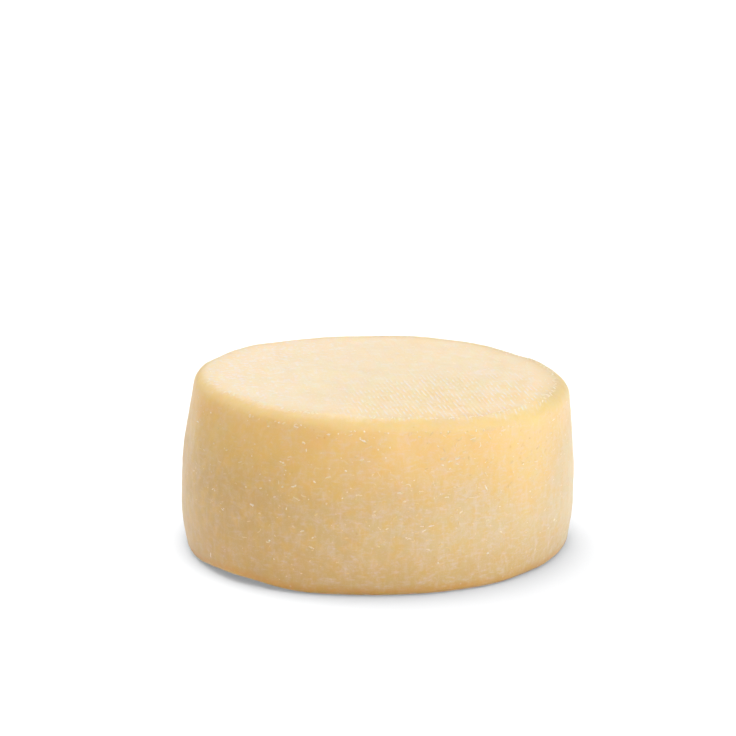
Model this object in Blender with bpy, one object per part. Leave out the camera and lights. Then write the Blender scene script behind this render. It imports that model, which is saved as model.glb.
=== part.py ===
# A whole wheel of pressed cheese in its rind, uncut: one low round solid lying on its flat underside.
# Metres, +Z up. The origin is the middle of the box round the wheel, at the level that it stands on.
# Directions round the wheel are degrees from +X towards +Y, so its front, which faces -Y, is at 270.

import bmesh
import bpy
import numpy as np

MM = 0.001

# Driving dimensions
HEIGHT = 85.6 * MM  # at the middle of the top face
SHOULDER_RADIUS = 95.6 * MM  # outline where the side meets the rounded top edge
FOOT_RADIUS = 97.9 * MM  # outline where the side meets the rounded bottom edge
BELLY = 3.2 * MM  # how far the side bulges past the straight line from foot to shoulder
BELLY_SAG = 0.65  # above 0, the widest level is below the middle of the side
RIM_ROUNDING = 6.5 * MM  # top edge, as far in as down
FOOT_ROUNDING = 2.5 * MM  # bottom edge, as far in as up

# The wheel was turned and pressed by hand, so nothing on it is quite round or level
LEAN = 0.045  # the shoulder stands this much of the height towards +X
TOP_FALL = 0.017  # slope of the top face, down towards +X
LIFT = 2.9 * MM  # the front left of the bottom edge is clear of the table by this much
LIFT_MIDDLE = 226.0  # degrees
LIFT_HALF_WIDTH = 27.0  # degrees to either side
LIFT_START = 72.0 * MM  # the underside is flat inside this radius

# Slow waves round the wheel: how many, how high, and the direction of one crest in degrees
SHOULDER_WAVES = ((3, 0.9 * MM, 23.0), (4, 0.5 * MM, -30.0))
FOOT_WAVES = ((3, 1.4 * MM, -10.0), (5, 0.9 * MM, 13.0))
BELLY_WAVES = ((1, 0.6 * MM, -169.0), (2, 0.45 * MM, 50.0))
RIM_WAVES = ((1, 0.9 * MM, 20.0),)
TOP_EDGE_WAVES = ((4, 0.4 * MM, -11.0),)

# Flats pressed into the shoulder: the direction each faces, and its depth at the middle
SHOULDER_FLATS = ((157.0, 0.5 * MM), (40.0, 0.8 * MM), (23.0, 0.35 * MM))
FLAT_BLEND = 0.25 * MM  # softens the two ends of a flat
FLAT_REACH = 60.0  # a flat acts within this many degrees of its direction

# Fineness of the faceted surface
SEGMENTS = 96
UNDERSIDE_RINGS = 5
FOOT_RINGS = 3
SIDE_RINGS = 11
RIM_RINGS = 5
TOP_RINGS = 4
CORNER_PULL = 0.56  # makes a cubic corner close to a quarter circle
SMOOTH_BELOW = 40.0  # edges are shaded smooth up to this many degrees

# Rind
RIND_COLOUR = (0.84, 0.62, 0.30, 1.0)
RIND_ROUGHNESS = 0.55


def wave_sum(angle, waves):
    """Sum of amount * cos(count * (angle - crest))."""
    total = np.zeros_like(angle)
    for count, amount, crest in waves:
        total += amount * np.cos(count * (angle - np.radians(crest)))
    return total


def press_flats(radius, angle, base):
    """Keeps an outline inside the line of each flat, which is (base - depth) / cos(angle - facing)."""
    least_cosine = np.cos(np.radians(FLAT_REACH))
    for facing, depth in SHOULDER_FLATS:
        flat = (base - depth) / np.maximum(np.cos(angle - np.radians(facing)), least_cosine)
        radius = 0.5 * (radius + flat - np.sqrt((radius - flat) ** 2 + FLAT_BLEND**2))
    return radius


def lift_at(angle):
    """Clearance under the bottom edge: a raised cosine round LIFT_MIDDLE."""
    half = np.radians(LIFT_HALF_WIDTH)
    away = (angle - np.radians(LIFT_MIDDLE) + np.pi) % (2.0 * np.pi) - np.pi
    share = np.clip(away / half, -1.0, 1.0)
    return LIFT * (0.5 + 0.5 * np.cos(np.pi * share))


def ease(share):
    """0 to 1 with level ends."""
    share = np.clip(share, 0.0, 1.0)
    return share * share * (3.0 - 2.0 * share)


def corner(start, tip, end, share):
    """Cubic curve from start to end whose two ends point at tip."""
    near_start = start + CORNER_PULL * (tip - start)
    near_end = end + CORNER_PULL * (tip - end)
    left = 1.0 - share
    return left**3 * start + 3 * left**2 * share * near_start + 3 * left * share**2 * near_end + share**3 * end


def section_rings(angle):
    """Radius and height of every ring, from the underside up the side to the top, one column per ring."""
    shoulder = press_flats(SHOULDER_RADIUS + wave_sum(angle, SHOULDER_WAVES), angle, SHOULDER_RADIUS)
    foot = FOOT_RADIUS + wave_sum(angle, FOOT_WAVES)
    belly = BELLY + wave_sum(angle, BELLY_WAVES)
    rim = RIM_ROUNDING + wave_sum(angle, RIM_WAVES)
    edge_height = HEIGHT - TOP_FALL * np.cos(angle) * shoulder + wave_sum(angle, TOP_EDGE_WAVES)
    lift = lift_at(angle)

    side_low = lift + FOOT_ROUNDING
    side_high = edge_height - rim
    side_rise = side_high - side_low
    slope_low = (shoulder - foot + 4.0 * belly * (1.0 + 0.5 * BELLY_SAG)) / side_rise
    slope_high = (shoulder - foot - 4.0 * belly * (1.0 - 0.5 * BELLY_SAG)) / side_rise
    foot_tip = foot - slope_low * FOOT_ROUNDING
    rim_tip = shoulder + slope_high * rim
    underside_edge = foot_tip - FOOT_ROUNDING
    top_edge = rim_tip - rim
    radii = []
    heights = []

    # underside: flat out to LIFT_START, then rising to the lifted stretch of the edge
    share = np.linspace(0.0, 1.0, UNDERSIDE_RINGS + 1)[None, :-1]
    radii.append(LIFT_START + (underside_edge - LIFT_START) * share)
    heights.append(lift * ease(share))

    # bottom edge
    share = np.linspace(0.0, 1.0, FOOT_RINGS + 1)[None, :-1]
    radii.append(corner(underside_edge, foot_tip, foot, share))
    heights.append(corner(lift, lift, side_low, share))

    # side: the straight line from foot to shoulder, plus the belly
    share = np.linspace(0.0, 1.0, SIDE_RINGS + 1)[None, :-1]
    bulge = 4.0 * share * (1.0 - share) * (1.0 + BELLY_SAG * (0.5 - share))
    radii.append(foot + (shoulder - foot) * share + belly * bulge)
    heights.append(side_low + side_rise * share)

    # rounded top edge
    share = np.linspace(0.0, 1.0, RIM_RINGS + 1)[None, :-1]
    radii.append(corner(shoulder, rim_tip, top_edge, share))
    heights.append(corner(side_high, edge_height, edge_height, share))

    # top face, in to the last ring before its middle
    share = np.linspace(1.0, 0.0, TOP_RINGS + 1)[None, :-1]
    radii.append(top_edge * share)
    heights.append(HEIGHT + (edge_height - HEIGHT) * share)
    return np.concatenate(radii, axis=1), np.concatenate(heights, axis=1)


def wheel_points():
    """Ring points in order, with the middle of their box over the origin, and the middle of the top."""
    angle = np.linspace(0.0, 2.0 * np.pi, SEGMENTS, endpoint=False)[:, None]
    radius, height = section_rings(angle)
    points = np.stack((radius * np.cos(angle) + LEAN * height, radius * np.sin(angle), height), axis=-1)
    corners = points.reshape(-1, 3)
    middle = 0.5 * (corners.min(axis=0) + corners.max(axis=0))
    middle[2] = 0.0
    top_middle = np.array((LEAN * HEIGHT, 0.0, HEIGHT)) - middle
    return points - middle, top_middle


def rind_material():
    material = bpy.data.materials.new("rind")
    material.use_nodes = True
    shader = material.node_tree.nodes["Principled BSDF"]
    shader.inputs["Base Color"].default_value = RIND_COLOUR
    shader.inputs["Roughness"].default_value = RIND_ROUGHNESS
    shader.inputs["Metallic"].default_value = 0.0
    material.diffuse_color = RIND_COLOUR
    return material


def make_wheel():
    points, top_middle = wheel_points()
    ring_count = points.shape[1]
    shape = bmesh.new()
    rings = [[shape.verts.new(points[step, ring]) for step in range(SEGMENTS)] for ring in range(ring_count)]
    shape.faces.new(reversed(rings[0]))
    for lower, upper in zip(rings, rings[1:]):
        for step in range(SEGMENTS):
            after = (step + 1) % SEGMENTS
            shape.faces.new((lower[step], lower[after], upper[after], upper[step]))
    crown = shape.verts.new(top_middle)
    for step in range(SEGMENTS):
        shape.faces.new((rings[-1][step], rings[-1][(step + 1) % SEGMENTS], crown))
    bmesh.ops.triangulate(shape, faces=shape.faces[:])

    mesh = bpy.data.meshes.new("cheese_wheel")
    shape.to_mesh(mesh)
    shape.free()
    mesh.shade_smooth()
    mesh.set_sharp_from_angle(angle=np.radians(SMOOTH_BELOW))
    mesh.materials.append(rind_material())
    wheel = bpy.data.objects.new("cheese_wheel", mesh)
    bpy.context.scene.collection.objects.link(wheel)


for old in list(bpy.data.objects):
    bpy.data.objects.remove(old)
make_wheel()
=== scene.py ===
import math

import bpy
import numpy as np
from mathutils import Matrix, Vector


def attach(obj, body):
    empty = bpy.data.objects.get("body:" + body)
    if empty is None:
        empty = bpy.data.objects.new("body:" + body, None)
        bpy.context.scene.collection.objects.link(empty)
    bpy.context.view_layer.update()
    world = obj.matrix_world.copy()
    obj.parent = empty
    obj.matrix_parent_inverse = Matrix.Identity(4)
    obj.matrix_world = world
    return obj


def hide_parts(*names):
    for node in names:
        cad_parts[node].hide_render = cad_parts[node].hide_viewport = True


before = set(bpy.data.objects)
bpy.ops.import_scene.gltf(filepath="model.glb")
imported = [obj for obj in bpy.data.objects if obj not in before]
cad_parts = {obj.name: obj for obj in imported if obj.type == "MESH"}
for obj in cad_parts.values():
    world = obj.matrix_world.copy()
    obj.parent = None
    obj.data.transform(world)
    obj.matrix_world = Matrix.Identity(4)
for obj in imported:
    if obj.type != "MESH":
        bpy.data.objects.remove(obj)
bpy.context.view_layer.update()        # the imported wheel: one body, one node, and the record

mm = 0.001
fullTurn = 2.0 * math.pi


# A colour as it is picked on screen, 0 to 255, turned into the linear numbers that a shader takes
def paint(red, green, blue):
    shares = np.array((red, green, blue)) / 255.0
    linear = np.where(shares <= 0.04045, shares / 12.92, ((shares + 0.055) / 1.055) ** 2.4)
    return (*linear.tolist(), 1.0)


# Shape of the wheel, in the sizes of the CAD solid
wheel = {
    "height": 85.6 * mm,        # at the middle of the top face
    "shoulderRadius": 95.6 * mm,        # where the side meets the rounded top edge
    "footRadius": 97.9 * mm,        # where the side meets the rounded bottom edge
    "belly": 3.2 * mm,        # bulge of the side past the straight line from foot to shoulder
    "bellySag": 0.65,        # above 0, the widest level is below the middle of the side
    "rimRounding": 6.5 * mm,
    "footRounding": 2.5 * mm,
    "lean": 0.045,        # the shoulder stands this share of the height towards +X
    "topFall": 0.017,        # slope of the top face, down towards +X
    "lift": 2.9 * mm,        # clearance under the front left of the bottom edge
    "liftMiddle": 226.0,        # degrees from +X towards +Y, as every direction here
    "liftHalfWidth": 27.0,
    "liftStart": 72.0 * mm,        # the underside is flat inside this radius
    # slow waves round the wheel: how many, how high, where one crest is
    "shoulderWaves": ((3, 0.9 * mm, 23.0), (4, 0.5 * mm, -30.0)),
    "footWaves": ((3, 1.4 * mm, -10.0), (5, 0.9 * mm, 13.0)),
    "bellyWaves": ((1, 0.6 * mm, -169.0), (2, 0.45 * mm, 50.0)),
    "rimWaves": ((1, 0.9 * mm, 20.0),),
    "topEdgeWaves": ((4, 0.4 * mm, -11.0),),
    # flats pressed into the shoulder: direction faced, depth at the middle
    "flats": ((157.0, 0.5 * mm), (40.0, 0.8 * mm), (23.0, 0.35 * mm)),
    "flatBlend": 0.25 * mm,        # softens the two ends of a flat
    "flatReach": 60.0,        # degrees to either side in which a flat acts
    "cornerPull": 0.56,        # makes a cubic corner close to a quarter circle
    "cornerRun": 1.5,        # length of a rounded edge, in shares of its size
}

# At the front left the rounded top edge is wide: the section falls in, most at its top and less further down
softRim = {
    "inward": 6.5 * mm,        # at the top
    "stretch": 32.0 * mm,        # height over which it comes to nothing
    "middle": 248.0,
    "full": 30.0,        # degrees to either side where it is whole
    "reach": 62.0,        # degrees to either side where it ends
}

# Fine relief of the rind: (size across, height) of smooth noise, and shallow dents
relief = {
    "swell": (26.0 * mm, 0.20 * mm),
    "ripple": (8.0 * mm, 0.045 * mm),
    "pimple": (3.4 * mm, 0.018 * mm),
    "calmTop": 0.45,        # share of the relief that is left on the top face
    "calmFrom": 3.2,        # station where it starts to calm
    "footFade": 0.8,        # stations over which it grows from the bottom edge up
    "sideShare": 0.62,        # share of the dents that lie on the side, by its area
    "dentCount": 340,
    "dentSize": (1.0 * mm, 4.5 * mm),
    "dentDepth": (0.04 * mm, 0.20 * mm),
    "seed": 41,
}

# Where the pressing cloth ended, as a station on the rounded top edge
clothEdge = {
    "station": 3.86,
    "wave": 0.18,        # once round the wheel
    "crest": 70.0,
    "low": 0.36,        # it hung this much lower over one stretch
    "lowMiddle": 319.0,
    "lowHalfWidth": 14.0,
}

# Fineness of the skin's mesh
skin = {
    "capSteps": 138,        # cells along one edge of the square that is bent into each round face
    "footSteps": 5,
    "sideSteps": 76,
    "rimSteps": 12,
    "sideRun": 75.0 * mm,        # length of the side along the section
}


# Sum of amount * cos(count * (angle - crest))
def waveSum(angle, waves):
    total = np.zeros_like(angle)
    for count, amount, crest in waves:
        total += amount * np.cos(count * (angle - math.radians(crest)))
    return total


# 0 to 1 with level ends: s * s * (3 - 2 s)
def ease(share):
    share = np.clip(share, 0.0, 1.0)
    return share * share * (3.0 - 2.0 * share)


# Degrees from one direction to another, -180 to 180
def degreesAway(angle, middle):
    return (np.degrees(angle) - middle + 180.0) % 360.0 - 180.0


# Outline kept inside each flat, whose line is (base - depth) / cos(angle - facing), by a soft minimum
def pressFlats(radius, angle, base):
    leastCosine = math.cos(math.radians(wheel["flatReach"]))
    for facing, depth in wheel["flats"]:
        flat = (base - depth) / np.maximum(np.cos(angle - math.radians(facing)), leastCosine)
        radius = 0.5 * (radius + flat - np.sqrt((radius - flat) ** 2 + wheel["flatBlend"] ** 2))
    return radius


# Cubic from start to end whose two ends point at tip
def corner(start, tip, end, share):
    nearStart = start + wheel["cornerPull"] * (tip - start)
    nearEnd = end + wheel["cornerPull"] * (tip - end)
    left = 1.0 - share
    return left**3 * start + 3 * left**2 * share * nearStart + 3 * left * share**2 * nearEnd + share**3 * end


# Station along the section: 0 to 1 is the underside from its middle out, 1 to 2 the bottom edge, 2 to 3 the
# side, 3 to 4 the rounded top edge, 4 to 5 the top face in to its middle. Returns radius and height at each
# direction and station, and the radii at which the underside and the top face end.
def sectionAt(angle, station):
    base = wheel["shoulderRadius"]
    shoulder = pressFlats(base + waveSum(angle, wheel["shoulderWaves"]), angle, base)
    foot = wheel["footRadius"] + waveSum(angle, wheel["footWaves"])
    belly = wheel["belly"] + waveSum(angle, wheel["bellyWaves"])
    rim = wheel["rimRounding"] + waveSum(angle, wheel["rimWaves"])
    fall = wheel["topFall"] * np.cos(angle) * shoulder
    edgeHeight = wheel["height"] - fall + waveSum(angle, wheel["topEdgeWaves"])
    away = np.clip(degreesAway(angle, wheel["liftMiddle"]) / wheel["liftHalfWidth"], -1.0, 1.0)
    lift = wheel["lift"] * (0.5 + 0.5 * np.cos(math.pi * away))        # raised cosine
    inside = softRim["reach"] - np.abs(degreesAway(angle, softRim["middle"]))
    soft = softRim["inward"] * ease(inside / (softRim["reach"] - softRim["full"]))

    sideLow = lift + wheel["footRounding"]
    sideHigh = edgeHeight - rim
    slopeLow = (shoulder - foot + 4.0 * belly * (1.0 + 0.5 * wheel["bellySag"])) / (sideHigh - sideLow)
    slopeHigh = (shoulder - foot - 4.0 * belly * (1.0 - 0.5 * wheel["bellySag"])) / (sideHigh - sideLow)
    footTip = foot - slopeLow * wheel["footRounding"]
    rimTip = shoulder + slopeHigh * rim
    underEdge = footTip - wheel["footRounding"]
    topEdge = rimTip - rim

    zone = np.clip(np.floor(station), 0, 4)
    share = station - zone
    underRadius = underEdge * share
    underHeight = lift * ease((underRadius - wheel["liftStart"]) / (underEdge - wheel["liftStart"]))
    bulge = 4.0 * share * (1.0 - share) * (1.0 + wheel["bellySag"] * (0.5 - share))
    radius = np.select(
        [zone == 0, zone == 1, zone == 2, zone == 3],
        [
            underRadius,
            corner(underEdge, footTip, foot, share),
            foot + (shoulder - foot) * share + belly * bulge,
            corner(shoulder, rimTip, topEdge, share),
        ],
        (topEdge - soft) * (1.0 - share),
    )
    height = np.select(
        [zone == 0, zone == 1, zone == 2, zone == 3],
        [
            underHeight,
            corner(lift, lift, sideLow, share),
            sideLow + (sideHigh - sideLow) * share,
            corner(sideHigh, edgeHeight, edgeHeight, share),
        ],
        wheel["height"] + (edgeHeight - wheel["height"]) * (1.0 - share),
    )
    below = np.clip((edgeHeight - height) / softRim["stretch"], 0.0, 1.0)
    radius = radius - np.where((zone == 2) | (zone == 3), soft * (1.0 - below) ** 2, 0.0)
    return radius, height, underEdge, topEdge - soft


# Turned section: x = r cos(angle) + lean * z, y = r sin(angle)
def turnedAt(angle, station):
    radius, height = sectionAt(angle, station)[:2]
    across = radius * np.cos(angle) + wheel["lean"] * height
    return np.stack((across, radius * np.sin(angle), height), axis=-1)


# The same, moved so that the middle of its box is over the origin, as the CAD solid stands
def findMiddle():
    angle, station = np.meshgrid(np.linspace(0.0, fullTurn, 721), np.linspace(1.0, 4.0, 181))
    points = turnedAt(angle, station).reshape(-1, 3)
    middle = 0.5 * (points.min(axis=0) + points.max(axis=0))
    middle[2] = 0.0
    return middle


boxMiddle = findMiddle()


# Outward direction of the smooth shape: straight down underneath, level on the side, straight up on top
def outwardAt(angle, station):
    tilt = np.radians(np.interp(station, (1.0, 2.0, 3.0, 4.0), (-90.0, 0.0, 0.0, 90.0)))
    return np.stack((np.cos(tilt) * np.cos(angle), np.cos(tilt) * np.sin(angle), np.sin(tilt)), axis=-1)


# Smooth noise of about unit height: sum of cos(2 pi (p . d) / length + turn) over seeded random directions d
def smoothNoise(points, size, seed, count=56):
    draw = np.random.default_rng(seed)
    direction = draw.normal(size=(count, 3))
    direction /= np.linalg.norm(direction, axis=1)[:, None]
    length = size * draw.uniform(0.7, 1.4, count)
    turn = draw.uniform(0.0, fullTurn, count)
    phase = points.reshape(-1, 3) @ (fullTurn * direction / length[:, None]).T + turn
    return (np.cos(phase).sum(axis=1) * math.sqrt(2.0 / count)).reshape(points.shape[:-1])


# Evenly spread seeded places on the side and the top face, as directions and stations
def scatterPlaces(draw, count):
    angle = draw.uniform(0.0, fullTurn, count)
    rise = draw.uniform(0.0, 1.0, count)
    onSide = rise < relief["sideShare"]
    inward = 1.0 - np.sqrt(draw.uniform(0.0, 1.0, count))
    return angle, np.where(onSide, 2.0 + rise / relief["sideShare"], 4.0 + inward)


# Shallow dents: each takes depth * exp(-(distance / size)^2) off the skin
def dentsAt(points):
    draw = np.random.default_rng(relief["seed"])
    angle, station = scatterPlaces(draw, relief["dentCount"])
    middles = turnedAt(angle, station)
    sizes = draw.uniform(*relief["dentSize"], relief["dentCount"])
    depths = draw.uniform(*relief["dentDepth"], relief["dentCount"]) * sizes / relief["dentSize"][1]
    flat = points.reshape(-1, 3)
    total = np.zeros(len(flat))
    for middle, size, depth in zip(middles, sizes, depths):
        gap = ((flat - middle) ** 2).sum(axis=1) / size**2
        total += depth * np.exp(-np.minimum(gap, 30.0))        # nothing that far out
    return total.reshape(points.shape[:-1])


# The rind's surface: the turned section moved outward by noise and in by the dents, less so on the top face.
# The flat underside and the start of the bottom edge stay true.
def rindAt(angle, station, raised=0.0):
    angle, station = np.broadcast_arrays(angle, station)
    points = turnedAt(angle, station)
    amount = np.zeros(points.shape[:-1])
    for step, name in enumerate(("swell", "ripple", "pimple")):
        size, tall = relief[name]
        amount += tall * smoothNoise(points, size, relief["seed"] + 1 + step)
    amount -= dentsAt(points)
    amount *= 1.0 - (1.0 - relief["calmTop"]) * ease(station - relief["calmFrom"])
    amount *= ease((station - 1.0) / relief["footFade"])
    return points + outwardAt(angle, station) * (amount + raised)[..., None] - boxMiddle


# Distance along the skin from the edge of the cloth's print, inward over the top face
def printInset(angle, station):
    low = np.exp(-((degreesAway(angle, clothEdge["lowMiddle"]) / clothEdge["lowHalfWidth"]) ** 2))
    wave = clothEdge["wave"] * np.cos(angle - math.radians(clothEdge["crest"]))
    edge = clothEdge["station"] + wave - clothEdge["low"] * low
    radius, height, underEdge, topEdge = sectionAt(angle, station)
    edgeRun = wheel["cornerRun"] * wheel["rimRounding"]
    return (np.minimum(station, 4.0) - edge) * edgeRun + np.where(station > 4.0, topEdge - radius, 0.0)


# A square grid bent into a disc so that its cells stay even: on the wedge where |a| >= |b| the radius is a
# and the direction is 45 degrees * b / a, and likewise on the other wedges
def discGrid(steps):
    line = np.linspace(-1.0, 1.0, steps + 1)
    a, b = np.meshgrid(line, line, indexing="ij")
    safeA = np.where(a == 0.0, 1.0, a)
    safeB = np.where(b == 0.0, 1.0, b)
    wide = np.abs(a) > np.abs(b)
    radius = np.where(wide, a, b)
    angle = np.where(wide, 0.25 * math.pi * b / safeA, 0.5 * math.pi - 0.25 * math.pi * a / safeB)
    angle = np.where((a == 0.0) & (b == 0.0), 0.0, angle)
    angle = np.where(radius < 0.0, angle + math.pi, angle)
    return np.abs(radius), angle % fullTurn


# Grid numbers of the bent square's edge, once round in the order of rising direction from -45 degrees
def discEdge(steps):
    number = np.arange((steps + 1) ** 2).reshape(steps + 1, steps + 1)
    return np.concatenate((number[-1, :-1], number[::-1, -1][:-1], number[0, ::-1][:-1], number[:, 0][:-1]))


# Four-cornered faces between the rows and columns of a grid of vertex numbers
def gridFaces(number):
    corners = (number[:-1, :-1], number[1:, :-1], number[1:, 1:], number[:-1, 1:])
    return np.stack(corners, axis=-1).reshape(-1, 4)


# The whole skin as one closed mesh: two bent squares joined by a strip of rings
def makeSkin():
    steps = skin["capSteps"]
    share, capAngle = discGrid(steps)
    edge = discEdge(steps)
    capCount = (steps + 1) ** 2
    ringAngle = capAngle.reshape(-1)[edge]

    rings = np.concatenate((
        1.0 + np.arange(1, skin["footSteps"] + 1) / skin["footSteps"],
        2.0 + np.arange(1, skin["sideSteps"] + 1) / skin["sideSteps"],
        3.0 + np.arange(1, skin["rimSteps"]) / skin["rimSteps"],
    ))
    stripAngle, stripStation = np.meshgrid(ringAngle, rings)
    angle = np.concatenate((capAngle.reshape(-1), stripAngle.reshape(-1), capAngle.reshape(-1)))
    station = np.concatenate((share.reshape(-1), stripStation.reshape(-1), 5.0 - share.reshape(-1)))
    points = rindAt(angle, station)

    number = np.arange(capCount).reshape(steps + 1, steps + 1)
    strip = capCount + np.arange(len(rings) * len(edge)).reshape(len(rings), len(edge))
    topStart = capCount + strip.size
    belt = np.concatenate((edge[None, :], strip, topStart + edge[None, :]))
    belt = np.concatenate((belt, belt[:, :1]), axis=1)        # closes the ring
    cap = gridFaces(number)
    faces = np.concatenate((cap[:, ::-1], gridFaces(belt)[:, ::-1], topStart + cap))

    mesh = bpy.data.meshes.new("rindSkin")
    mesh.from_pydata(points, [], faces)
    mesh.shade_smooth()

    # distance from the underside's edge: above 0 in under the wheel, below 0 up its side
    radius, height, underEdge, topEdge = sectionAt(angle, station)
    edgeRun = wheel["footRounding"] * np.minimum(station - 1.0, 1.0)
    sideRun = skin["sideRun"] * np.maximum(station - 2.0, 0.0)
    underInset = np.where(station <= 1.0, underEdge - radius, -edgeRun - sideRun)
    layers = {"printInset": printInset(angle, station), "underInset": underInset, "station": station}
    for name, values in layers.items():
        layer = mesh.attributes.new(name, "FLOAT", "POINT")
        layer.data.foreach_set("value", values.astype(np.float32))
    return mesh


rindMesh = makeSkin()
print("skin made,", len(rindMesh.polygons), "faces")
rindSkin = bpy.data.objects.new("rindSkin", rindMesh)
bpy.context.scene.collection.objects.link(rindSkin)
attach(rindSkin, "root")
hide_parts("cheese_wheel")


# Pale flakes of dried rind. Each kind: how many, length, width, slant off level and its spread, how far it
# curls, how pale (the two numbers of a beta draw), and the stations between which it lies.
flakes = {
    "strokes": {
        "count": 330, "length": (1.4 * mm, 3.8 * mm), "width": (0.75 * mm, 1.30 * mm),
        "slant": 5.0, "slantSpread": 18.0, "curl": 40.0, "pale": (0.9, 2.2), "stations": (2.02, 3.02),
    },
    "crumbs": {
        "count": 520, "length": (0.7 * mm, 1.5 * mm), "width": (0.60 * mm, 1.1 * mm),
        "slant": 0.0, "slantSpread": 35.0, "curl": 20.0, "pale": (0.8, 2.4), "stations": (2.02, 3.10),
    },
    "curls": {
        "count": 110, "length": (2.0 * mm, 5.0 * mm), "width": (0.45 * mm, 0.85 * mm),
        "slant": 0.0, "slantSpread": 60.0, "curl": 150.0, "pale": (0.9, 4.5), "stations": (2.02, 3.05),
    },
    "topMarks": {
        "count": 420, "length": (0.8 * mm, 3.6 * mm), "width": (0.45 * mm, 1.0 * mm),
        "slant": 0.0, "slantSpread": 90.0, "curl": 50.0, "pale": (1.2, 2.0), "stations": (3.75, 4.98),
    },
}

# Shared by every kind
flakeForm = {
    "seed": 77,
    "segments": 7,
    "thickness": 0.09 * mm,
    "sunk": 0.03 * mm,
    "ragged": 0.30,        # unevenness of the width
    "raggedMost": 1.8,        # in spreads
    "widthLimit": 0.9,        # of the length
    "upright": 0.07,        # share that stand upright
    "tries": 5,        # places tried for each one kept
    "towardsTop": 0.6,        # below 1, the side has more of them near its top
    "chance": 0.24,        # of being kept, on the whole
    "bunched": 0.15,        # how far the chance rises and falls in bunches
    "bunchSize": 22.0 * mm,
    "frontMiddle": 306.0,        # the side is flakiest here and least opposite
    "frontBias": 0.26,
}

# The fold of the cloth left a chain of marks inside the rounded edge, over part of the way round
foldMarks = {
    "from": -32.0,
    "to": 46.0,
    "along": 101.0,        # the direction that the marks take, with the cloth's threads
    "spacing": 4.2 * mm,
    "turns": (-34.0, -20.0, -5.0, 46.0),        # stations at these directions
    "stations": (3.62, 3.80, 3.97, 4.0),
    "spread": 0.03,        # in stations
    "turnSpread": 0.009,        # in radians
    "slantSpread": 18.0,
    "length": (1.6 * mm, 4.2 * mm),
    "width": (0.6 * mm, 1.1 * mm),
    "pale": (0.1, 0.85),
}


# Place beside another on the skin: level metres round the wheel and rise metres along the section
def besideAt(angle, station, level, rise):
    zoneRuns = np.array((
        wheel["footRadius"],
        wheel["cornerRun"] * wheel["footRounding"],
        wheel["height"] - wheel["rimRounding"] - wheel["footRounding"],
        wheel["cornerRun"] * wheel["rimRounding"],
        wheel["shoulderRadius"] - wheel["rimRounding"],
    ))
    runStarts = np.concatenate(((0.0,), np.cumsum(zoneRuns)))
    stations = np.arange(6.0)
    radius = sectionAt(angle, station)[0]
    run = np.interp(station, stations, runStarts) + rise
    turned = angle + level / np.maximum(radius, 5.0 * mm)        # finite at the middle of the face
    return turned, np.interp(run, runStarts, stations)


# Seeded places of one kind, kept with a chance that is higher in bunches and on the flaky front
def flakePlaces(draw, kind, seed):
    many = kind["count"] * flakeForm["tries"]
    low, high = kind["stations"]
    angle = draw.uniform(0.0, fullTurn, many)
    share = draw.uniform(0.0, 1.0, many)
    if low > 3.5:        # on the round face, by area
        station = high - (high - low) * np.sqrt(share)
    else:
        station = low + (high - low) * share ** flakeForm["towardsTop"]
    bunch = smoothNoise(turnedAt(angle, station), flakeForm["bunchSize"], seed)
    facing = np.cos(angle - math.radians(flakeForm["frontMiddle"]))
    chance = flakeForm["chance"] + flakeForm["bunched"] * bunch + flakeForm["frontBias"] * facing
    keep = np.flatnonzero(draw.uniform(0.0, 1.0, many) < chance)[: kind["count"]]
    return angle[keep], station[keep]


# Flakes as low ribbons: the middle line turns evenly, so its direction at share s is slant + curl (s - 1/2),
# and the half-width is (width / 2) sqrt(1 - (2 s - 1)^2) made uneven. Across it stand four corners: edge,
# crest, edge, base.
def ribbons(draw, angle, station, length, width, slant, curl):
    count = len(angle)
    segments = flakeForm["segments"]
    share = np.arange(segments + 1) / segments
    direction = slant[:, None] + curl[:, None] * (share - 0.5)
    halfway = 0.5 * (direction[:, 1:] + direction[:, :-1])
    step = (length / segments)[:, None]
    along = np.concatenate((np.zeros((count, 1)), np.cumsum(step * np.cos(halfway), axis=1)), axis=1)
    rise = np.concatenate((np.zeros((count, 1)), np.cumsum(step * np.sin(halfway), axis=1)), axis=1)
    along -= along.mean(axis=1, keepdims=True)
    rise -= rise.mean(axis=1, keepdims=True)
    most = flakeForm["raggedMost"]
    uneven = 1.0 + flakeForm["ragged"] * draw.normal(0.0, 1.0, (count, segments + 1)).clip(-most, most)
    half = 0.5 * width[:, None] * np.sqrt(1.0 - (2.0 * share - 1.0) ** 2) * uneven

    across = np.array((1.0, 0.0, -1.0, 0.0))
    lifted = np.array((0.0, 1.0, 0.0, -1.5)) * flakeForm["thickness"] - flakeForm["sunk"]
    inner = slice(1, segments)
    level = along[:, inner, None] - np.sin(direction)[:, inner, None] * half[:, inner, None] * across
    up = rise[:, inner, None] + np.cos(direction)[:, inner, None] * half[:, inner, None] * across
    ends = (slice(None), (0, segments))
    level = np.concatenate((level.reshape(count, -1), along[ends]), axis=1)
    up = np.concatenate((up.reshape(count, -1), rise[ends]), axis=1)
    raised = np.concatenate((np.tile(lifted, segments - 1), np.full(2, -flakeForm["sunk"])))
    return rindAt(*besideAt(angle[:, None], station[:, None], level, up), raised[None, :])


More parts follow.
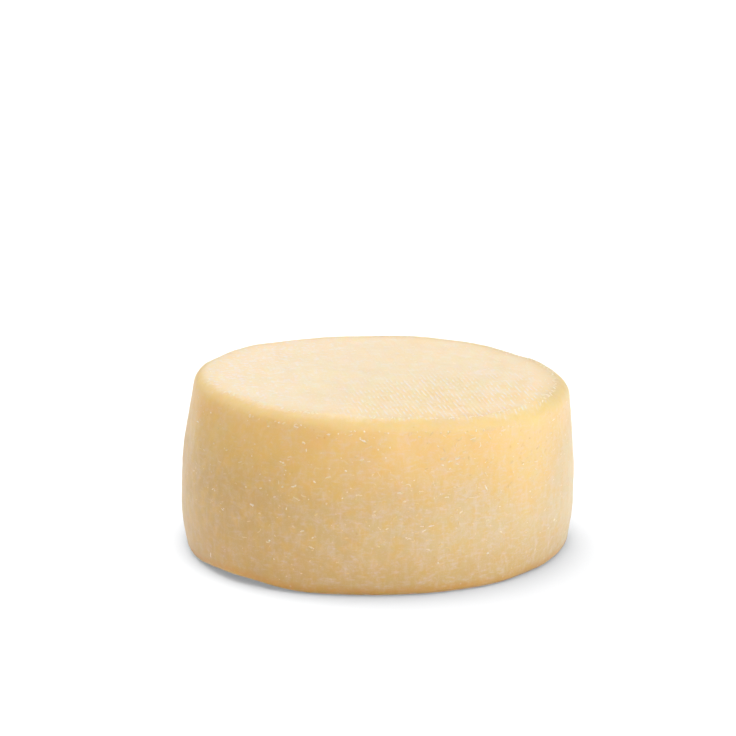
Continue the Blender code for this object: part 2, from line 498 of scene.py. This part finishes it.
# Triangles of one ribbon: bands between neighbouring sections and a fan at each end
def ribbonFaces():
    inner = flakeForm["segments"] - 1
    section = np.arange(inner * 4).reshape(inner, 4)
    here, there = section[:-1], section[1:]
    beside, besideThere = np.roll(here, -1, axis=1), np.roll(there, -1, axis=1)
    bands = np.stack((here, beside, besideThere, here, besideThere, there), axis=-1).reshape(-1, 3)
    first, last = section[0], section[-1]
    start, end = np.full(4, inner * 4), np.full(4, inner * 4 + 1)
    startFan = np.stack((start, np.roll(first, -1), first), axis=-1)
    endFan = np.stack((end, last, np.roll(last, -1)), axis=-1)
    return np.concatenate((bands, startFan, endFan))


def makeFlakes():
    draw = np.random.default_rng(flakeForm["seed"])
    groups = []
    pales = []
    for order, (name, kind) in enumerate(flakes.items()):
        angle, station = flakePlaces(draw, kind, flakeForm["seed"] + order)
        count = len(angle)
        length = np.exp(draw.uniform(*np.log(kind["length"]), count))
        width = np.minimum(draw.uniform(*kind["width"], count), flakeForm["widthLimit"] * length)
        slant = np.radians(kind["slant"] + kind["slantSpread"] * draw.normal(0.0, 1.0, count))
        upright = draw.uniform(0.0, 1.0, count) < flakeForm["upright"]
        slant = np.where(upright, slant + 0.5 * math.pi, slant)
        curl = np.radians(kind["curl"]) * draw.normal(0.0, 1.0, count)
        groups.append(ribbons(draw, angle, station, length, width, slant, curl))
        pales.append(draw.beta(*kind["pale"], count))
        print("flakes,", name, count)

    pitch = math.degrees(foldMarks["spacing"] / wheel["shoulderRadius"])
    turns = np.radians(np.arange(foldMarks["from"], foldMarks["to"], pitch))
    count = len(turns)
    turns = turns + draw.normal(0.0, foldMarks["turnSpread"], count)
    station = np.interp(np.degrees(turns), foldMarks["turns"], foldMarks["stations"])
    station = station + foldMarks["spread"] * draw.normal(0.0, 1.0, count)
    length = draw.uniform(*foldMarks["length"], count)
    width = draw.uniform(*foldMarks["width"], count)
    slant = np.radians(foldMarks["along"] - 90.0 + draw.normal(0.0, foldMarks["slantSpread"], count)) - turns
    groups.append(ribbons(draw, turns, station, length, width, slant, np.zeros(count)))
    pales.append(draw.uniform(*foldMarks["pale"], count))

    points = np.concatenate(groups)
    pale = np.concatenate(pales)
    perFlake = points.shape[1]
    faces = ribbonFaces()[None] + (np.arange(len(points)) * perFlake)[:, None, None]
    mesh = bpy.data.meshes.new("rindFlakes")
    mesh.from_pydata(points.reshape(-1, 3), [], faces.reshape(-1, 3))
    mesh.shade_smooth()
    layer = mesh.attributes.new("pale", "FLOAT", "POINT")
    layer.data.foreach_set("value", np.repeat(pale, perFlake).astype(np.float32))
    return mesh


flakeMesh = makeFlakes()
print("flakes made,", len(flakeMesh.polygons), "faces")
rindFlakes = bpy.data.objects.new("rindFlakes", flakeMesh)
bpy.context.scene.collection.objects.link(rindFlakes)
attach(rindFlakes, "root")


# Adds a node, sets its properties, then its input sockets by name or number: a node output is linked to a
# socket, a value is set on it
def addNode(tree, kind, settings=None, **sockets):
    node = tree.nodes.new(kind)
    for name, value in (settings or {}).items():
        setattr(node, name, value)
    for name, value in sockets.items():
        key = int(name[2:]) if name.startswith("at") and name[2:].isdigit() else name.replace("_", " ")
        if isinstance(value, bpy.types.NodeSocket):
            tree.links.new(value, node.inputs[key])
        else:
            node.inputs[key].default_value = value
    return node


def maths(tree, operation, first, second=0.0, third=0.0):
    node = addNode(tree, "ShaderNodeMath", {"operation": operation}, at0=first, at1=second, at2=third)
    return node.outputs[0]


def product(tree, first, second):
    return maths(tree, "MULTIPLY", first, second)


# Sum of values, each times its share
def blendOf(tree, values, shares):
    total = 0.0
    for name, share in shares.items():
        total = maths(tree, "MULTIPLY_ADD", values[name], share, total)
    return total


def vectorMaths(tree, operation, **sockets):
    node = addNode(tree, "ShaderNodeVectorMath", {"operation": operation}, **sockets)
    return node.outputs["Value" if operation in ("DOT_PRODUCT", "DISTANCE") else "Vector"]


# Value carried from one range to another, with level ends
def remap(tree, value, low, high, toLow=0.0, toHigh=1.0):
    settings = {"interpolation_type": "SMOOTHSTEP"}
    node = addNode(
        tree, "ShaderNodeMapRange", settings,
        Value=value, From_Min=low, From_Max=high, To_Min=toLow, To_Max=toHigh,
    )
    return node.outputs["Result"]


def mixColours(tree, share, under, over):
    node = addNode(tree, "ShaderNodeMix", {"data_type": "RGBA"}, at0=share, at6=under, at7=over)
    return node.outputs[2]


def mixValues(tree, share, under, over):
    node = addNode(tree, "ShaderNodeMix", {"data_type": "FLOAT"}, at0=share, at2=under, at3=over)
    return node.outputs[0]


# An empty shader node group with named inputs, (kind, name, value), and named float outputs
def newGroup(name, inputs, outputs):
    tree = bpy.data.node_groups.new(name, "ShaderNodeTree")
    for kind, label, value in inputs:
        socket = tree.interface.new_socket(label, in_out="INPUT", socket_type=kind)
        if value is not None:
            socket.default_value = value
    for label in outputs:
        tree.interface.new_socket(label, in_out="OUTPUT", socket_type="NodeSocketFloat")
    return tree, tree.nodes.new("NodeGroupInput").outputs, tree.nodes.new("NodeGroupOutput").inputs


def placeGroup(tree, group, **sockets):
    return addNode(tree, "ShaderNodeGroup", {"node_tree": group}, **sockets).outputs


# Patches of noise: 1 where the noise is above High, 0 below Low
def buildPatches():
    tree, given, result = newGroup("patches", (
        ("NodeSocketVector", "Vector", None),
        ("NodeSocketFloat", "Scale", 50.0),        # patches in a metre
        ("NodeSocketFloat", "Detail", 3.0),
        ("NodeSocketFloat", "Low", 0.4),
        ("NodeSocketFloat", "High", 0.6),
    ), ("Mask",))
    noise = addNode(
        tree, "ShaderNodeTexNoise",
        Vector=given["Vector"], Scale=given["Scale"], Detail=given["Detail"], Roughness=0.55,
    )
    tree.links.new(remap(tree, noise.outputs["Fac"], given["Low"], given["High"]), result["Mask"])
    return tree


# Small round marks: in each cell of a random lattice a spot of the given size, in a share of the cells
def buildSpots():
    tree, given, result = newGroup("spots", (
        ("NodeSocketVector", "Vector", None),
        ("NodeSocketFloat", "Scale", 300.0),        # cells in a metre
        ("NodeSocketFloat", "Size", 0.3),        # of a cell
        ("NodeSocketFloat", "Share", 0.3),        # of cells that hold a spot
    ), ("Mask",))
    cells = addNode(tree, "ShaderNodeTexVoronoi", Vector=given["Vector"], Scale=given["Scale"])
    choice = addNode(tree, "ShaderNodeSeparateColor", Color=cells.outputs["Color"])
    present = maths(tree, "LESS_THAN", choice.outputs[0], given["Share"])
    own = maths(tree, "MULTIPLY_ADD", choice.outputs[1], 0.7, 0.5)        # each spot has its own size
    inside = remap(tree, cells.outputs["Distance"], product(tree, given["Size"], own), 0.0)
    tree.links.new(product(tree, inside, present), result["Mask"])
    return tree


# Print of woven cloth: Threads is the height of two crossing sets of threads, Dashes the broken pale lines
# that dried in the gaps between the first set
def buildCloth():
    tree, given, result = newGroup("clothPrint", (
        ("NodeSocketVector", "Vector", None),
        ("NodeSocketFloat", "Pitch", 2.2 * mm),
        ("NodeSocketFloat", "Turn", 0.0),        # direction across the first set, in radians
        ("NodeSocketFloat", "Waver", 0.5 * mm),        # how far a thread strays
    ), ("Threads", "Dashes"))
    stray = addNode(tree, "ShaderNodeTexNoise", Vector=given["Vector"], Scale=45.0, Detail=1.0)
    centred = vectorMaths(tree, "SUBTRACT", at0=stray.outputs["Color"], at1=(0.5, 0.5, 0.5))
    strayed = vectorMaths(tree, "SCALE", at0=centred, Scale=given["Waver"])
    moved = vectorMaths(tree, "ADD", at0=given["Vector"], at1=strayed)
    back = product(tree, given["Turn"], -1.0)
    turned = addNode(tree, "ShaderNodeVectorRotate", {"rotation_type": "Z_AXIS"}, Vector=moved, Angle=back)
    place = addNode(tree, "ShaderNodeSeparateXYZ", Vector=turned.outputs[0])
    perTurn = maths(tree, "DIVIDE", fullTurn, given["Pitch"])
    waves = {
        "first": maths(tree, "COSINE", product(tree, place.outputs[0], perTurn)),
        "second": maths(tree, "COSINE", product(tree, place.outputs[1], perTurn)),
    }
    stretched = addNode(tree, "ShaderNodeMapping", Vector=turned.outputs[0], Scale=(480.0, 190.0, 0.0))
    broken = addNode(tree, "ShaderNodeTexNoise", Vector=stretched.outputs[0], Scale=1.0, Detail=2.0)
    broken = remap(tree, broken.outputs["Fac"], 0.46, 0.62)
    gaps = remap(tree, blendOf(tree, waves, {"first": 1.0, "second": 0.15}), 0.0, 0.8)
    tree.links.new(blendOf(tree, waves, {"first": 0.5, "second": 0.35}), result["Threads"])
    tree.links.new(product(tree, gaps, broken), result["Dashes"])
    return tree


patches = buildPatches()
spots = buildSpots()
clothPrint = buildCloth()

# Patches on the rind: how many in a metre, detail, and the noise at which they start and are full
patterns = {
    "fray": (240.0, 3.0, 0.20, 0.80),        # unevenness of the print's edge
    "honey": (170.0, 4.0, 0.44, 0.66),
    "level": (210.0, 4.0, 0.50, 0.74),        # level streaks of film
    "upright": (420.0, 3.0, 0.48, 0.75),        # upright streaks of film
    "grain": (1300.0, 2.0, 0.45, 0.75),
    "wide": (60.0, 4.0, 0.38, 0.68),
    "blotch": (430.0, 3.0, 0.50, 0.70),
    "shown": (80.0, 3.0, 0.36, 0.60),        # where the threads show
    "uneven": (900.0, 2.0, 0.30, 0.70),        # within a flake
}

# Rind: colours as seen on screen under the studio's light, and what the skin shows
rind = {
    "paste": (205, 167, 97),        # the side, at its shaded end: darker and deeper in colour there as painted shade
    "dryPaste": (215, 190, 139),        # its paler end towards the lit side: painted light
    "honey": (222, 181, 92),        # its deeper patches
    "rimGlow": (234, 190, 102),        # painted glow: deeper gold under the rounded edge, where light coming through the rim shows
    "lowPaste": (206, 163, 88),        # towards the foot: painted shade, deeper in colour towards the bottom where less light reaches
    "foot": (214, 150, 66),        # line along the foot: painted shade and glow along the edge that meets the floor
    "band": (242, 213, 144),        # rounded top edge: its own waxier yellow, lifted as painted light so that the rounding stays nearly as bright as the top
    "cream": (243, 218, 170),        # top face
    "deepCream": (243, 212, 142),        # top face between the printed dashes
    "sideFilm": (226, 209, 200),        # dry pale film
    "topFilm": (242, 229, 214),
    "pore": (205, 152, 78),
    # how much of each colour is laid over the paste, in this order
    "layers": {"honey": 0.45, "rimGlow": 0.45, "lowPaste": 0.55, "foot": 0.75, "band": 0.62, "cream": 1.0},
    # what the film on the side and on the round faces is made of
    "sideParts": {"grain": 0.15, "cloud": 0.34, "level": 0.30, "upright": 0.15},
    "topParts": {"grain": 0.55, "wide": 0.16, "cloud": 0.60},
    # distances in from the edge of the print at which each starts and is whole
    "printFray": (3.0 * mm, -1.5 * mm),        # how far the edge is frayed, and from where
    "printEdge": (-2.8 * mm, 3.4 * mm),
    "printRest": (0.5 * mm, 10.0 * mm),
    "printParts": {"edge": 0.72, "rest": 0.28},
    "bandEdge": (-11.5 * mm, -3.5 * mm),
    "rimGlowLine": (-12.0 * mm, -8.0 * mm, -4.0 * mm),        # starts, is whole, ends
    # distances in from the underside's edge at which each starts and is whole
    "underFray": 1.6 * mm,
    "underEdge": (-0.6 * mm, 1.6 * mm),
    "lowEdge": (-30.0 * mm, -2.0 * mm),
    "footEdge": (-6.5 * mm, -1.8 * mm),
    "blotchFrom": (-0.01, -0.07),        # metres towards the lit side, from the least blotches to the most
    "blotches": (0.2, 1.3),
    "printTurn": 11.0,        # degrees from +X, across the first set of threads
    "printWaver": 0.9 * mm,
    "printMiddle": (0.050, -0.062, 0.086),        # the cloth pressed hardest here
    "printReach": (0.088, 0.026),        # faint past the first distance, full within the second
    "dashes": 2.2,        # strength of the white dashes
    "dryTurn": 345.0,        # degrees from +X, the side of the wheel that catches the most light
    "dryFrom": (-0.075, 0.095),        # metres towards it, from the shaded side to the lit side
    "rimShade": 0.07,        # share of black on the rounded edge at the lit side: painted shade that takes back the extra light the rounding catches
    "roughness": (0.44, 0.62),        # bare, under film
    "grainHeight": 0.03 * mm,
    "poreDepth": 0.12 * mm,
    "threadDepth": 0.09 * mm,
    "glow": 26.0 * mm,        # how far light travels in the rind, in red
    "glowTint": (1.0, 0.56, 0.26),        # the share of it that each colour travels
    "sheen": 0.10,
}


def patchMask(tree, name, place):
    scale, detail, low, high = patterns[name]
    return placeGroup(tree, patches, Vector=place, Scale=scale, Detail=detail, Low=low, High=high)["Mask"]


def stretchedPlace(tree, place, upward):
    return addNode(tree, "ShaderNodeMapping", Vector=place, Scale=(1.0, 1.0, upward)).outputs[0]


def attributeOf(tree, name):
    return addNode(tree, "ShaderNodeAttribute", {"attribute_name": name}).outputs["Fac"]


# 1 less a share of the value
def lessened(tree, value, share):
    return maths(tree, "MULTIPLY_ADD", value, -share, 1.0)


def makeRind():
    material = bpy.data.materials.new("rind")
    material.use_nodes = True
    tree = material.node_tree
    shader = tree.nodes["Principled BSDF"]
    place = addNode(tree, "ShaderNodeTexCoord").outputs["Object"]
    inset = attributeOf(tree, "printInset")
    underInset = attributeOf(tree, "underInset")
    station = attributeOf(tree, "station")

    # where the cloth pressed: the two round faces, with an uneven edge
    fray = patchMask(tree, "fray", place)
    reach, start = rind["printFray"]
    frayed = maths(tree, "MULTIPLY_ADD", fray, reach, maths(tree, "ADD", inset, start))
    above = {"edge": remap(tree, frayed, *rind["printEdge"]), "rest": remap(tree, inset, *rind["printRest"])}
    frayedUnder = maths(tree, "MULTIPLY_ADD", fray, rind["underFray"], underInset)
    under = remap(tree, frayedUnder, *rind["underEdge"])
    pressed = maths(tree, "MAXIMUM", blendOf(tree, above, rind["printParts"]), under)

    # base colour: paste, paler towards the lit side of the wheel and darker towards the shaded side as
    # painted light and shade, with the other colours over it
    dryTurn = math.radians(rind["dryTurn"])
    across = vectorMaths(tree, "DOT_PRODUCT", at0=place, at1=(math.cos(dryTurn), math.sin(dryTurn), 0.0))
    dry = remap(tree, across, *rind["dryFrom"])
    start, whole, end = rind["rimGlowLine"]
    masks = {
        "honey": patchMask(tree, "honey", place),
        # painted glow under the rounded edge
        "rimGlow": product(tree, remap(tree, inset, start, whole), remap(tree, inset, end, whole)),
        "lowPaste": remap(tree, underInset, *rind["lowEdge"]),
        "foot": remap(tree, underInset, *rind["footEdge"]),
        "band": remap(tree, inset, *rind["bandEdge"]),
        "cream": pressed,
    }
    base = mixColours(tree, dry, paint(*rind["paste"]), paint(*rind["dryPaste"]))
    for name, share in rind["layers"].items():
        base = mixColours(tree, product(tree, masks[name], share), base, paint(*rind[name]))

    # film: clouds, level and upright streaks and grain on the side; clouds and grain on the round faces
    cloud = addNode(
        tree, "ShaderNodeTexNoise",
        Vector=place, Scale=150.0, Detail=5.0, Roughness=0.8, Distortion=0.5,
    ).outputs["Fac"]
    parts = {
        "cloud": remap(tree, cloud, 0.44, 0.72),
        "level": patchMask(tree, "level", stretchedPlace(tree, place, 3.2)),
        "upright": patchMask(tree, "upright", stretchedPlace(tree, place, 0.18)),
        "grain": patchMask(tree, "grain", place),
        "wide": patchMask(tree, "wide", place),
    }
    sideFilm = blendOf(tree, parts, rind["sideParts"])
    # more pale film towards the lit side: painted light
    sideFilm = product(tree, sideFilm, maths(tree, "MULTIPLY_ADD", dry, 0.5, 0.6))
    sideFilm = product(tree, sideFilm, lessened(tree, masks["band"], 0.4))
    sideFilm = product(tree, sideFilm, lessened(tree, masks["foot"], 0.7))
    blotchy = remap(tree, across, *rind["blotchFrom"], *rind["blotches"])
    topFilm = blendOf(tree, parts, rind["topParts"])
    topFilm = maths(tree, "MULTIPLY_ADD", patchMask(tree, "blotch", place), blotchy, topFilm)
    film = mixValues(tree, pressed, sideFilm, topFilm)

    # cloth print: dry white dashes, strongest where the cloth pressed hardest
    turn = math.radians(rind["printTurn"])
    cloth = placeGroup(tree, clothPrint, Vector=place, Turn=turn, Waver=rind["printWaver"])
    away = vectorMaths(tree, "DISTANCE", at0=place, at1=rind["printMiddle"])
    near = remap(tree, away, *rind["printReach"], 0.08, 1.0)
    shown = maths(tree, "MULTIPLY_ADD", patchMask(tree, "shown", place), 0.7, 0.3)
    shown = product(tree, product(tree, shown, near), pressed)
    bare = product(tree, shown, maths(tree, "SUBTRACT", 0.8, cloth["Dashes"]))
    base = mixColours(tree, maths(tree, "MAXIMUM", bare, 0.0), base, paint(*rind["deepCream"]))
    film = product(tree, film, lessened(tree, shown, 0.6))
    film = maths(tree, "MULTIPLY_ADD", product(tree, cloth["Dashes"], shown), rind["dashes"], film)
    film = maths(tree, "MINIMUM", film, 1.0)
    filmColour = mixColours(tree, pressed, paint(*rind["sideFilm"]), paint(*rind["topFilm"]))
    colour = mixColours(tree, film, base, filmColour)

    # pores and specks
    pores = placeGroup(tree, spots, Vector=place, Scale=190.0, Size=0.16, Share=0.22)["Mask"]
    pores = product(tree, pores, lessened(tree, pressed, 1.0))
    colour = mixColours(tree, product(tree, pores, 0.35), colour, paint(*rind["pore"]))
    specks = placeGroup(tree, spots, Vector=place, Scale=330.0, Size=0.24, Share=0.14)["Mask"]
    colour = mixColours(tree, product(tree, specks, 0.4), colour, filmColour)

    # painted shade: the rounded edge is darkened on the lit side, where it catches more light than the top
    # face
    onRim = product(tree, remap(tree, station, 2.9, 3.4), remap(tree, station, 4.10, 3.9))
    shade = product(tree, onRim, product(tree, dry, rind["rimShade"]))
    colour = mixColours(tree, shade, colour, paint(0, 0, 0))
    tree.links.new(colour, shader.inputs["Base Color"])
    tree.links.new(remap(tree, film, 0.0, 0.7, *rind["roughness"]), shader.inputs["Roughness"])

    # grain, threads and pores stand in the surface
    stands = {
        "grain": addNode(tree, "ShaderNodeTexNoise", Vector=place, Scale=900.0, Detail=3.0).outputs["Fac"],
        "pores": pores,
        "threads": product(tree, cloth["Threads"], shown),
    }
    heights = {"grain": rind["grainHeight"], "pores": -rind["poreDepth"], "threads": -rind["threadDepth"]}
    bump = addNode(tree, "ShaderNodeBump", Height=blendOf(tree, stands, heights), Distance=1.0)
    tree.links.new(bump.outputs["Normal"], shader.inputs["Normal"])

    shader.inputs["Subsurface Weight"].default_value = 1.0
    shader.inputs["Subsurface Radius"].default_value = rind["glowTint"]
    shader.inputs["Subsurface Scale"].default_value = rind["glow"]
    shader.inputs["Sheen Weight"].default_value = rind["sheen"]
    return material


# Flakes: from nearly the rind's colour to dry white, each its own, uneven within
flakeFinish = {
    "dull": (226, 193, 134),        # on the side
    "white": (245, 234, 220),
    "faceDull": (242, 222, 180),        # on the top face
    "faceWhite": (247, 238, 226),
    "faceFrom": (80.0 * mm, 84.0 * mm),        # heights from the side's colours to the top face's
    "grainHeight": 0.04 * mm,
    "roughness": 0.6,
    "glowing": 0.6,        # share of the light that travels inside
    "glow": 1.2 * mm,
}


def makeFlakeFinish():
    material = bpy.data.materials.new("driedRind")
    material.use_nodes = True
    tree = material.node_tree
    shader = tree.nodes["Principled BSDF"]
    place = addNode(tree, "ShaderNodeTexCoord").outputs["Object"]
    uneven = maths(tree, "MULTIPLY_ADD", patchMask(tree, "uneven", place), 0.3, 0.8)
    share = product(tree, attributeOf(tree, "pale"), uneven)
    onSide = mixColours(tree, share, paint(*flakeFinish["dull"]), paint(*flakeFinish["white"]))
    onFace = mixColours(tree, share, paint(*flakeFinish["faceDull"]), paint(*flakeFinish["faceWhite"]))
    height = addNode(tree, "ShaderNodeSeparateXYZ", Vector=place).outputs["Z"]
    colour = mixColours(tree, remap(tree, height, *flakeFinish["faceFrom"]), onSide, onFace)
    tree.links.new(colour, shader.inputs["Base Color"])
    grain = addNode(tree, "ShaderNodeTexNoise", Vector=place, Scale=1500.0, Detail=2.0).outputs["Fac"]
    grain = product(tree, grain, flakeFinish["grainHeight"])
    bump = addNode(tree, "ShaderNodeBump", Height=grain, Distance=1.0)
    tree.links.new(bump.outputs["Normal"], shader.inputs["Normal"])
    shader.inputs["Roughness"].default_value = flakeFinish["roughness"]
    shader.inputs["Subsurface Weight"].default_value = flakeFinish["glowing"]
    shader.inputs["Subsurface Radius"].default_value = rind["glowTint"]
    shader.inputs["Subsurface Scale"].default_value = flakeFinish["glow"]
    return material


rindMesh.materials.append(makeRind())
flakeMesh.materials.append(makeFlakeFinish())
print("materials made")

# Studio: a white floor, a faint pale sky, and very soft lights: from above, from behind and from the front
# right on everything, and one from above that reaches the floor alone and whitens it round the wheel
studio = {
    "floorSize": 14.0,
    "floorGap": 0.2 * mm,
    "floorColour": (0.96, 0.96, 0.96, 1.0),
    "sky": (0.97, 0.98, 1.01, 1.0),
    "skyStrength": 0.10,
    # name, direction, degrees above level, degrees across, strength, for the floor only, full shadow
    "lights": (
        ("overheadLight", 0.0, 90.0, 90.0, 1.34, False, True),
        ("backLight", 122.0, 46.0, 75.0, 1.10, False, True),
        ("frontLight", 314.0, 30.0, 80.0, 1.98, False, False),
        ("floorLight", 0.0, 90.0, 30.0, 0.75, True, True),
    ),
}


def makeFloor():
    half = 0.5 * studio["floorSize"]
    low = -studio["floorGap"]
    mesh = bpy.data.meshes.new("floor")
    corners = [(-half, -half, low), (half, -half, low), (half, half, low), (-half, half, low)]
    mesh.from_pydata(corners, [], [(0, 1, 2, 3)])
    material = bpy.data.materials.new("floorPaper")
    material.use_nodes = True
    shader = material.node_tree.nodes["Principled BSDF"]
    shader.inputs["Base Color"].default_value = studio["floorColour"]
    shader.inputs["Roughness"].default_value = 1.0
    shader.inputs["Specular IOR Level"].default_value = 0.0
    mesh.materials.append(material)
    floor = bpy.data.objects.new("floor", mesh)
    bpy.context.scene.collection.objects.link(floor)


# Direction from the wheel towards a place at that turn and rise
def towards(turn, rise):
    turn = math.radians(turn)
    rise = math.radians(rise)
    return Vector((math.cos(turn) * math.cos(rise), math.sin(turn) * math.cos(rise), math.sin(rise)))


# A distant soft light. Importance sampling lets some of it pass under the wheel: a full shadow goes without.
def makeSoftLight(name, turn, rise, spread, strength, floorOnly, fullShadow):
    light = bpy.data.lights.new(name, "SUN")
    light.energy = strength
    light.angle = math.radians(spread)
    light.cycles.use_multiple_importance_sampling = not fullShadow
    lamp = bpy.data.objects.new(name, light)
    lamp.rotation_euler = towards(turn, rise).to_track_quat("Z", "Y").to_euler()
    bpy.context.scene.collection.objects.link(lamp)
    if floorOnly:
        lit = bpy.data.collections.new(name)
        lit.objects.link(bpy.data.objects["floor"])
        lamp.light_linking.receiver_collection = lit


def makeStudio():
    makeFloor()
    for settings in studio["lights"]:
        makeSoftLight(*settings)
    world = bpy.data.worlds.new("sky")
    world.use_nodes = True
    background = world.node_tree.nodes["Background"]
    background.inputs["Color"].default_value = studio["sky"]
    background.inputs["Strength"].default_value = studio["skyStrength"]
    bpy.context.scene.world = world
    bpy.context.scene.view_settings.view_transform = "Standard"


# Camera: a long lens at the wheel's front, looking down on it by the angle that the photo shows
shot = {
    "lens": 125.3,        # mm, on a sensor 36 mm wide
    "sensor": 36.0,
    "distance": 1.3,
    "front": 270.0,
    "rise": 13.79,        # degrees above level
    "target": (-4.9 * mm, 0.0, 89.1 * mm),
}


def makeCamera():
    camera = bpy.data.cameras.new("camera")
    camera.lens = shot["lens"]
    camera.sensor_width = shot["sensor"]
    camera.clip_end = 50.0
    stand = bpy.data.objects.new("camera", camera)
    back = towards(shot["front"], shot["rise"])
    stand.location = Vector(shot["target"]) + back * shot["distance"]
    stand.rotation_euler = back.to_track_quat("Z", "Y").to_euler()
    bpy.context.scene.collection.objects.link(stand)
    bpy.context.scene.camera = stand


for piece in (rindSkin, rindFlakes):
    piece.visible_diffuse = False        # keeps the floor's shadow free of the rind's colour
makeStudio()
makeCamera()
print("studio and camera made")
